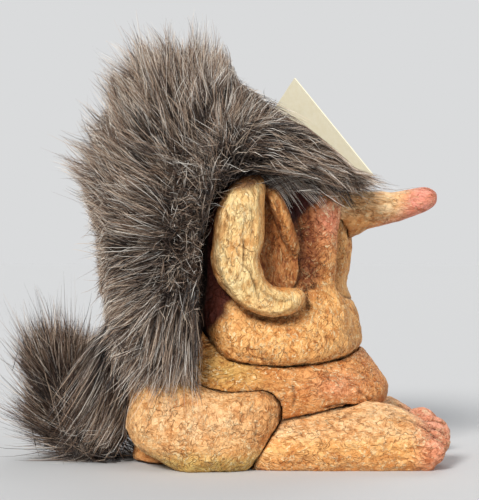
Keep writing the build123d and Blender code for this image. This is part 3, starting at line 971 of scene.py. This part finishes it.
# Combing: x and z of a place, then the way there, along x and along z
MANE_KEYS = [
    (44, 98, 0.9, -0.5), (36, 104, 0.85, -0.5), (30, 112, 0.85, -0.5), (20, 116, 0.85, -0.35),
    (12, 122, 0.6, 0.3), (4, 130, 0.3, 0.95), (-6, 138, 0.05, 1.0), (-20, 140, -0.2, 1.0),
    (-32, 138, -0.45, 0.9), (-42, 128, -0.6, 0.8), (-50, 112, -0.75, 0.66), (-56, 98, -0.85, 0.5),
    (-58, 84, -0.95, 0.25), (-57, 70, -0.95, -0.1), (-54, 58, -0.85, -0.5), (-49, 46, -0.6, -0.8),
    (-42, 36, -0.45, -0.9), (-28, 34, -0.2, -1.0), (-18, 38, -0.05, -1.0), (-16, 52, -0.3, -0.95),
    (-16, 66, -0.7, -0.6), (-16, 82, -0.8, 0.5), (-14, 96, -0.5, 0.85), (-4, 104, 0.1, 1.0),
    (8, 104, 0.7, 0.4), (22, 104, 0.9, -0.35), (-30, 100, -0.6, 0.8), (-34, 80, -0.85, 0.35),
    (-34, 60, -0.7, -0.5), (-20, 118, -0.25, 0.95), (2, 116, 0.4, 0.85),
]
TAIL_KEYS = [
    (-42, 5, -1.0, 0.0), (-50, 3, -1.0, 0.02), (-60, 3, -0.95, 0.15), (-69, 7, -0.75, 0.6),
    (-73, 16, -0.5, 0.85), (-75, 28, -0.5, 0.86), (-72, 38, -0.35, 0.94), (-64, 40, -0.1, 1.0),
    (-56, 36, 0.15, 1.0), (-48, 30, 0.4, 0.9), (-43, 20, 0.55, 0.8), (-60, 20, -0.1, 1.0),
    (-52, 16, 0.3, 0.9), (-66, 26, -0.3, 0.95), (-46, 10, -0.4, 0.6),
]

mane_tree = tree_of(nodes["mane_fur"])
tail_tree = tree_of(nodes["tail_fur"])
mane_open = outer_triangles(nodes["mane_fur"], [mane_tree, *skin_trees.values()])
tail_open = outer_triangles(nodes["tail_fur"], [tail_tree])


def undercoat(name, node, body, sink, deeper, hide):
    """The dark dense fur below the strands; its darkness is painted shade deep in the coat."""
    obj = remeshed(name, nodes[node], 1.6, 3)
    mesh = obj.data
    co, no = coords(mesh), normals(mesh)
    free = smooth(distance_to(tree_of(nodes[hide]), co, 8), 1, 7)
    back = smooth(-co[:, 0] + 0.6 * np.maximum(co[:, 2] - 100, 0), 4, 22)
    thick = 0.25 + 0.75 * smooth(co[:, 2], 46, 62) if node == "mane_fur" else 1.0
    co = co - no * (free * thick * (sink + deeper * back + 1.5 * lumps(co, 6, 2, 77)))[:, None]
    co[:, 2] += UNDERCOAT_SHIFT * (1 - smooth(co[:, 2], 97, 110)) * smooth(co[:, 0], -10, -2)
    co[:, 2] -= UNDERCOAT_SHIFT * smooth(co[:, 0], 24, 40) * smooth(co[:, 2], 98, 106)
    co[:, 2] = np.maximum(co[:, 2], FUR_LOW)
    put_coords(mesh, co)
    shade_smooth(mesh)
    mesh.materials.append(UNDERCOAT)
    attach(obj, body)
    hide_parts(node)


undercoat("mane_undercoat", "mane_fur", "figure", sink=8.0, deeper=4.0, hide="mane_pelt")
undercoat("tail_undercoat", "tail_fur", "tail", sink=5.5, deeper=0.0, hide="tail_core")


def wilder(path, share, low, high):
    """Stretches a few strands, so that they stand out of the coat."""
    wild = rng.uniform(size=len(path)) < share
    path[wild] += (path[wild] - path[wild][:, :1]) * rng.uniform(low, high, (wild.sum(), 1, 1))
    return path


def settle(path):
    """Lays the hair lower over the brow, so that the tag shows, and closer to the lower back."""
    top = np.interp(path[:, :, 0], *zip(*BROW_TOP))
    path[:, :, 2] -= BROW_PRESS_SHARE * np.maximum(path[:, :, 2] - top, 0)
    closer = BACK_PRESS_SHARE * (1 - smooth(path[:, :, 2], 70, 115)) * smooth(path[:, :, 2], 40, 50)
    path[:, :, 0] += closer * np.maximum(BACK_LINE - path[:, :, 0], 0)
    short = path[:, -1, 0] < rng.uniform(*BROW_END, len(path))
    return path[short | (rng.uniform(size=len(path)) < BROW_LONGER_SHARE)]


def trim(path):
    """Drops the strands that would hang far over the haunches."""
    low = path[:, -1, 2] < rng.uniform(*TRIM_LOW, len(path))
    return path[~(low & (path[:, -1, 0] > TRIM_FRONT))]


def in_box(path):
    """Keeps every strand above the ground and near the figure."""
    path[:, :, 0] = np.clip(path[:, :, 0], FUR_BACK, FUR_FRONT)
    path[:, :, 1] = np.clip(path[:, :, 1], -FUR_SIDE, FUR_SIDE)
    path[:, :, 2] = np.clip(path[:, :, 2], FUR_LOW, FUR_TOP)
    return path


SPARED = ["ear_right", "ear_left", "haunch_right", "haunch_left", "nose"]
for piece in range(MANE_PIECES):
    strands = int(MANE_STRANDS * HAIR_SHARE)
    path = coat(
        mane_open, strands, MANE_KEYS, lift=0.5, spread=0.2, depths=(4, 14), over=(-12, -4, 6), longest=34,
    )
    path = gather(path, per_clump=240, strength=0.5, reach=24)
    path = gather(path, per_clump=26, strength=0.75)
    path = wilder(path, share=0.07, low=0.15, high=0.7)
    path = push_out(in_box(settle(trim(path))), SPARED, 0.8)
    path = keep_off_face(path, 0.04)
    width = STRAND_WIDTH * rng.uniform(0.7, 1.3, len(path))
    ribbons(f"mane_hair_{piece}", path, width, tones(len(path), 0.06), "figure")


def spikes(clumps, each, surface, keys, weight, longest, depth=9):
    """Long tufts that stand out of the coat, each tapering to its own tip."""
    p, n = scatter(surface, clumps, weight)
    way = unit(comb(p, keys) + 0.45 * n * np.array([1, 0.7, 1]) + rng.normal(scale=0.2, size=p.shape))
    bend = rng.normal(scale=0.22, size=p.shape)
    length = rng.uniform(0.6, 1, clumps) * longest
    rise = np.clip(np.einsum("ij,ij->i", way, n), 0.4, 1)
    mine = np.repeat(np.arange(clumps), each)
    count = len(mine)
    root = p[mine] - way[mine] * (depth / rise[mine])[:, None] + rng.normal(scale=2.6, size=(count, 3))
    tip = p[mine] + way[mine] * (length[mine] - depth)[:, None]
    tip = tip + rng.normal(scale=1.5, size=(count, 3))
    tip = root + (tip - root) * rng.uniform(0.55, 1.0, count)[:, None]
    t = np.linspace(0, 1, 6)[None, :, None]
    reach = np.linalg.norm(tip - root, axis=1)[:, None, None]
    curl = bend[mine][:, None, :] * reach * (t * t - t)
    wave = rng.normal(scale=0.35, size=(count, 1, 3)) * np.sin(t * rng.uniform(2, 6, (count, 1, 1))) * t
    return root[:, None, :] * (1 - t) + tip[:, None, :] * t + curl + wave


def on_outline(p, _):
    """Weights the back, the crown and the rim of the mane."""
    rim = smooth(-p[:, 0], 38, 52) + smooth(p[:, 2], 122, 136)
    return 0.15 + rim * (p[:, 0] < 16)


def on_tail_tip(p, _):
    return 0.2 + smooth(p[:, 2], 24, 38)


def sides(count):
    return np.where(rng.uniform(size=count) < 0.5, 1.0, -1.0)


def drape(count):
    """Strands that hang from the mane over the haunches and down beside the tail."""
    side = sides(count)
    x = rng.uniform(*DRAPE_X, count)
    low = 33 + 0.22 * (x + 40)
    wide = 42 - 0.055 * (x + 18) ** 2 * (x < -18)
    root = columns(x, side * wide, low + rng.uniform(2, 28, count))
    root[:, 1] *= rng.uniform(0.6, 1.0, count) ** 0.3
    root[:, 1] = np.where(np.abs(root[:, 1]) < 4, side * 4, root[:, 1])
    noise = rng.normal(scale=0.13, size=(count, 3))
    start = columns(-0.2, 0.25 * side, -0.9) + noise
    end = columns(-0.12 - 0.02 * np.maximum(-30 - x, 0), -0.12 * side, -1.0) + noise
    length = rng.triangular(*DRAPE_LONG, count) * np.where(x < -38, 0.8, 1.0)
    length = np.clip(root[:, 2] - rng.uniform(24, 34, count), 5, length)
    path = strand_paths(root, start, end, length, 0.7)
    path = gather(path, 30, 0.7)
    path[:, :, 2] = np.maximum(path[:, :, 2], 9)
    return push_out(path, ["haunch_right", "haunch_left", "torso"], 0.9)


def curtain(count):
    """Strands between the back of the mane and the tail."""
    x = rng.uniform(*CURTAIN_X, count)
    root = columns(x, rng.uniform(-24, 24, count), rng.uniform(30, 52, count) - 0.5 * (x + 41))
    noise = rng.normal(scale=0.12, size=(count, 3))
    start = np.array([-0.35, 0, -0.9]) + noise
    end = columns(-0.5, -0.01 * root[:, 1], -0.85) + noise
    path = strand_paths(root, start, end, rng.triangular(*CURTAIN_LONG, count), 0.9)
    path = gather(path, 30, 0.6)
    path[:, :, 2] = np.maximum(path[:, :, 2], rng.uniform(0.8, 14, count)[:, None])
    return push_out(path, ["haunch_right", "haunch_left", "torso"], 0.9)


def nape(count):
    """Short tangled strands behind the ears."""
    side = sides(count)
    z = rng.uniform(*NAPE_Z, count)
    x = rng.uniform(-27, -13, count) + 2.5 * smooth(z, 84, 100)
    root = columns(x, side * rng.uniform(28, 41, count), z)
    away = columns(0.25, 0.75 * side, 0.1 * (z - 80) / 20)
    noise = rng.normal(scale=0.55, size=(count, 3))
    path = strand_paths(root, away + noise, away * 0.6 + noise * 1.3, rng.triangular(*NAPE_LONG, count), 1.2)
    path = gather(path, 14, 0.4)
    path[:, :, 1] = np.clip(path[:, :, 1], -45, 45)
    return keep_off_face(push_out(path, ["ear_right", "ear_left", "head", "torso"], 0.8), 0.3)


def brow(count):
    """Strands along the lower edge of the hair from the ear to the brow."""
    side = sides(count)
    x = rng.uniform(*BROW_X, count)
    above = rng.uniform(0.5, 16, count)
    wide = rng.uniform(34, 44, count) * (1 - 0.42 * smooth(x, 14, 36))
    root = columns(x, side * wide, np.interp(x, *zip(*HAIRLINE)) + above)
    noise = rng.normal(scale=0.24, size=(count, 3))
    fore = smooth(x, -4, 8)
    start = columns(-0.4 + 1.35 * fore, 0.35 * side, 0.5 - 0.35 * fore) + noise
    end = columns(-0.1 + 1.0 * fore, -0.1 * side, 0.4 - 0.75 * fore - 0.02 * above) + noise
    path = strand_paths(root, start, end, rng.triangular(*BROW_LONG, count), 0.9)
    path = gather(path, 16, 0.6)
    path[:, :, 1] = np.clip(path[:, :, 1], -46, 46)
    floor = hairline(path) - rng.uniform(-1.5, 1, count)[:, None]
    path[:, :, 2] = np.where(path[:, :, 0] > -10, np.maximum(path[:, :, 2], floor), path[:, :, 2])
    return push_out(path, ["ear_right", "ear_left", "nose"], 0.8)


def fringe(count):
    """Long pale strands that stray from the fringe over brow and cheek."""
    side = sides(count)
    x = rng.uniform(*FRINGE_X, count)
    root = columns(x, side * (27 - 0.01 * x ** 2), 103 + rng.uniform(-2, 4, count))
    noise = rng.normal(scale=0.1, size=(count, 3))
    start = columns(0.85, 0.25 * side, -0.45) + noise
    end = columns(0.6, -0.05 * side, -0.85) + noise
    path = strand_paths(root, start, end, rng.triangular(*FRINGE_LONG, count), 0.6)
    path = gather(path, 9, 0.6)
    return push_out(path, ["head", "ear_right", "ear_left", "nose"], 0.9)


def wisp(count):
    """A thin dark wisp over each side of the nose root."""
    side = sides(count)
    x = rng.uniform(*WISP_X, count)
    root = columns(x, side * rng.uniform(8.5, 10.5, count), rng.uniform(96, 99, count))
    start = columns(0.35, 0.1 * side, -1.0) + rng.normal(scale=0.06, size=(count, 3))
    end = columns(0.7, np.zeros(count), -0.7)
    path = gather(strand_paths(root, start, end, rng.uniform(*WISP_LONG, count), 0.2), count // 3, 0.8)
    return push_out(path, ["nose", "head"], 0.6)


def strays(count):
    """A few long single hairs that rise from the crown towards the front."""
    side = sides(count)
    x = rng.uniform(*STRAY_X, count)
    root = columns(x, side * rng.uniform(2, 32, count), rng.uniform(118, 128, count))
    way = np.array([0.4, 0, 1.0]) + rng.normal(scale=(0.22, 0.3, 0.1), size=(count, 3))
    end = way + rng.normal(scale=0.25, size=(count, 3))
    return strand_paths(root, way, end, rng.uniform(*STRAY_LONG, count), 0.6)


def lay(name, path, paler, body="figure"):
    """Makes a group of strands one piece, settled and kept in the box."""
    path = in_box(settle(path) if body == "figure" else path)
    ribbons(name, path, STRAND_WIDTH * rng.uniform(0.7, 1.2, len(path)), tones(len(path), paler), body)


for name, maker, count, paler in (
    ("drape_hair", drape, 9600, 0.05), ("curtain_hair", curtain, 5200, 0.0), ("nape_hair", nape, 9000, 0.0),
    ("brow_hair", brow, 9500, 0.08), ("fringe_hair", fringe, 520, 0.42), ("wisp_hair", wisp, 60, -0.2),
    ("stray_hair", strays, 260, 0.25),
):
    path = maker(max(int(count * HAIR_SHARE), 20))
    lay(name, path, paler)

path = spikes(230, max(int(38 * HAIR_SHARE), 10), mane_open, MANE_KEYS, on_outline, longest=24)
path = keep_off_face(push_out(settle(path), SPARED, 0.8), 0.02)
lay("tuft_hair", path, 0.1)

strands = int(TAIL_STRANDS * HAIR_SHARE)
path = coat(
    tail_open, strands, TAIL_KEYS, lift=0.4, spread=0.24, depths=(2, 9), over=(-5, 1, 8), longest=25,
    wave=0.8,
)
path = gather(path, per_clump=30, strength=0.7)
path = wilder(path, share=0.14, low=0.2, high=0.7)
lay("tail_hair", path, -0.22, "tail")
path = spikes(
    70, max(int(30 * HAIR_SHARE), 8), tail_open, TAIL_KEYS, on_tail_tip, longest=20, depth=6,
)
lay("tail_tufts", path, -0.16, "tail")


# Camera, floor and lights

CAMERA_AWAY, CAMERA_UP, CAMERA_LENS, FLOOR_HALF = 550, 75, 110, 8000

camera_data = bpy.data.cameras.new("camera")
camera_data.sensor_width = 36
camera_data.lens = CAMERA_LENS
camera_data.clip_start = 0.05
camera_data.clip_end = 20
camera = add_object("camera", camera_data)
camera.location = (0, -CAMERA_AWAY * MM, CAMERA_UP * MM)
camera.rotation_euler = (math.pi / 2, 0, 0)
scene.camera = camera

floor_mesh = bpy.data.meshes.new("floor")
corners = [(x * FLOOR_HALF * MM, y * FLOOR_HALF * MM, 0) for x, y in ((-1, -1), (1, -1), (1, 1), (-1, 1))]
floor_mesh.from_pydata(corners, [], [(0, 1, 2, 3)])
floor = add_object("floor", floor_mesh)
floor_mesh.materials.append(plain_material("floor_pale", srgb(206, 207, 208), 0.95, 0.1))

world = bpy.data.worlds.new("studio")
scene.world = world
world.use_nodes = True
tree = world.node_tree
ambient = tree.nodes["Background"]
ambient.inputs[0].default_value = (0.95, 0.97, 1, 1)
ambient.inputs[1].default_value = 0.42
backdrop = tree.nodes.new("ShaderNodeBackground")
backdrop.inputs[0].default_value = (*srgb(218, 219, 220), 1)
backdrop.inputs[1].default_value = 1
rays = tree.nodes.new("ShaderNodeLightPath")
either = tree.nodes.new("ShaderNodeMath")
either.operation = "MAXIMUM"
tree.links.new(rays.outputs["Is Camera Ray"], either.inputs[0])
tree.links.new(rays.outputs["Is Glossy Ray"], either.inputs[1])
choose = tree.nodes.new("ShaderNodeMixShader")
tree.links.new(either.outputs[0], choose.inputs[0])
tree.links.new(ambient.outputs[0], choose.inputs[1])
tree.links.new(backdrop.outputs[0], choose.inputs[2])
tree.links.new(choose.outputs[0], tree.nodes["World Output"].inputs[0])


def sun(name, way, strength, angle, colour=(1, 1, 1)):
    """A far soft light that shines along the way."""
    data = bpy.data.lights.new(name, "SUN")
    data.energy = strength
    data.angle = angle
    data.color = colour
    obj = add_object(name, data)
    obj.rotation_euler = Vector(way).to_track_quat("-Z", "Y").to_euler()


sun("key", (0.42, 0.9, -0.66), 2.9, 0.3, (1, 0.98, 0.95))
sun("fill", (-0.8, 0.6, -0.35), 0.5, 0.9, (0.96, 0.98, 1))
sun("rim", (-0.2, -0.8, -0.7), 0.7, 0.6)
